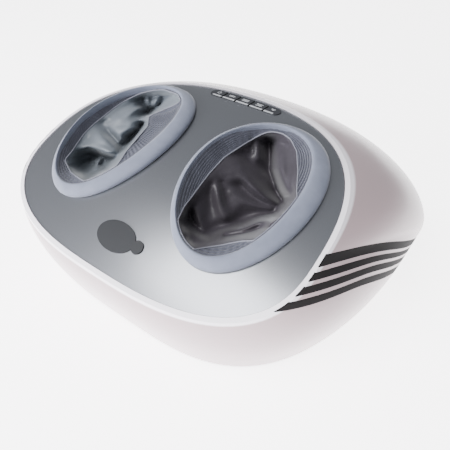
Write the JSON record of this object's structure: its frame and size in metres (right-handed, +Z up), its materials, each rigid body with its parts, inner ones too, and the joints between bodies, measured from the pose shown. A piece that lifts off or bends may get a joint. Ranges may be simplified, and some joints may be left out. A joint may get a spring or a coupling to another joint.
{
  "type": "foot massager",
  "caption": "Tilted floor-standing foot massager with foot pockets inside padded rings, a curved top panel, push keys and a geared drive with kneading rollers.",
  "frame": {"origin": "middle of the overall box, at the floor under the rubber feet", "axes": "+Z up from the floor, +X towards the user's right, +Y from the user towards the toes"},
  "size_m": [0.435, 0.3868, 0.1761],
  "materials": {
    "shell_plastic": "gloss white moulding",
    "stripe_plastic": "dark grey inlay",
    "panel_lacquer": "metallic silver grey lacquer",
    "dark_gloss": "dark gloss",
    "ring_knit": "blue grey knit over foam",
    "collar_plastic": "matt black",
    "elastic_rib": "ribbed elastic",
    "liner_cloth": "satin lining",
    "inner_plastic": "grey moulding",
    "airbag_skin": "coated film",
    "heater_film": "amber film",
    "bronze": "turned",
    "steel": "ground steel",
    "rotor_iron": "laminated",
    "gear_plastic": "natural moulding",
    "roller_plastic": "dark moulding",
    "key_plastic": "dark gloss with pale front edge",
    "board": "green laminate",
    "tray_plastic": "matt grey moulding",
    "foot_rubber": "matt rubber",
    "hose_rubber": "translucent tube",
    "socket_plastic": "matt black"
  },
  "bodies": {
    "machine_body": {"upper_shell": "shell_plastic", "side_stripes_left": "stripe_plastic", "side_stripes_right": "stripe_plastic", "top_panel": "panel_lacquer", "oval_plate": "dark_gloss", "receiver_window": "dark_gloss", "padded_ring_left": "ring_knit", "padded_ring_right": "ring_knit", "ring_collar_left": "collar_plastic", "ring_collar_right": "collar_plastic", "elastic_band_left": "elastic_rib", "elastic_band_right": "elastic_rib", "foot_liner_left": "liner_cloth", "foot_liner_right": "liner_cloth", "foot_tub_left": "inner_plastic", "foot_tub_right": "inner_plastic", "airbags_left": "airbag_skin", "airbags_right": "airbag_skin", "heating_pad_left": "heater_film", "heating_pad_right": "heater_film", "drive_cradle": "inner_plastic", "shaft_bushes": "bronze", "motor_straps": "steel", "motor_case": "steel", "motor_bearings": "bronze", "key_carrier": "inner_plastic", "control_board": "board", "base_tray": "tray_plastic", "rubber_feet": "foot_rubber", "shell_screws": "steel", "air_pump": "inner_plastic", "air_valves": "inner_plastic", "air_hoses": "hose_rubber", "air_manifold": "hose_rubber", "main_board": "board", "board_standoffs": "inner_plastic", "power_socket": "socket_plastic"},
    "heel_roller_set": {"heel_shaft": "steel", "heel_wheel": "gear_plastic", "heel_roller_left": "roller_plastic", "heel_roller_right": "roller_plastic"},
    "toe_roller_set": {"toe_shaft": "steel", "toe_wheel": "gear_plastic", "toe_roller_left": "roller_plastic", "toe_roller_right": "roller_plastic"},
    "motor_drive": {"motor_shaft": "steel", "motor_rotor": "rotor_iron", "heel_worm": "bronze", "toe_worm": "bronze"},
    "power_key": {"key_power": "key_plastic"},
    "mode_key": {"key_mode": "key_plastic"},
    "air_key": {"key_air": "key_plastic"},
    "heat_key": {"key_heat": "key_plastic"},
    "timer_key": {"key_timer": "key_plastic"}
  },
  "joints": [
    {"name": "heel_roller_spin", "type": "hinge", "parent": "machine_body", "child": "heel_roller_set", "pos_m": [0, -0.06327, 0.03284], "axis": [1, 0, 0], "continuous": true},
    {"name": "toe_roller_spin", "type": "hinge", "parent": "machine_body", "child": "toe_roller_set", "pos_m": [0, 0.03127, 0.04951], "axis": [1, 0, 0], "continuous": true},
    {"name": "motor_spin", "type": "hinge", "parent": "machine_body", "child": "motor_drive", "pos_m": [0, -0.02034, 0.06579], "axis": [0, 0.9848, 0.1736], "continuous": true},
    {"name": "power_press", "type": "slide", "parent": "machine_body", "child": "power_key", "axis": [0, -0.0124, -0.9999], "range_m": [0, 0.001], "stiffness_N_per_m": 900},
    {"name": "mode_press", "type": "slide", "parent": "machine_body", "child": "mode_key", "axis": [0, -0.0124, -0.9999], "range_m": [0, 0.001], "stiffness_N_per_m": 900},
    {"name": "air_press", "type": "slide", "parent": "machine_body", "child": "air_key", "axis": [0, -0.0124, -0.9999], "range_m": [0, 0.001], "stiffness_N_per_m": 900},
    {"name": "heat_press", "type": "slide", "parent": "machine_body", "child": "heat_key", "axis": [0, -0.0124, -0.9999], "range_m": [0, 0.001], "stiffness_N_per_m": 900},
    {"name": "timer_press", "type": "slide", "parent": "machine_body", "child": "timer_key", "axis": [0, -0.0124, -0.9999], "range_m": [0, 0.001], "stiffness_N_per_m": 900}
  ],
  "couplings": [
    {"joint": "toe_roller_spin", "follows": "heel_roller_spin", "ratio": 1},
    {"joint": "motor_spin", "follows": "heel_roller_spin", "ratio": 24}
  ]
}
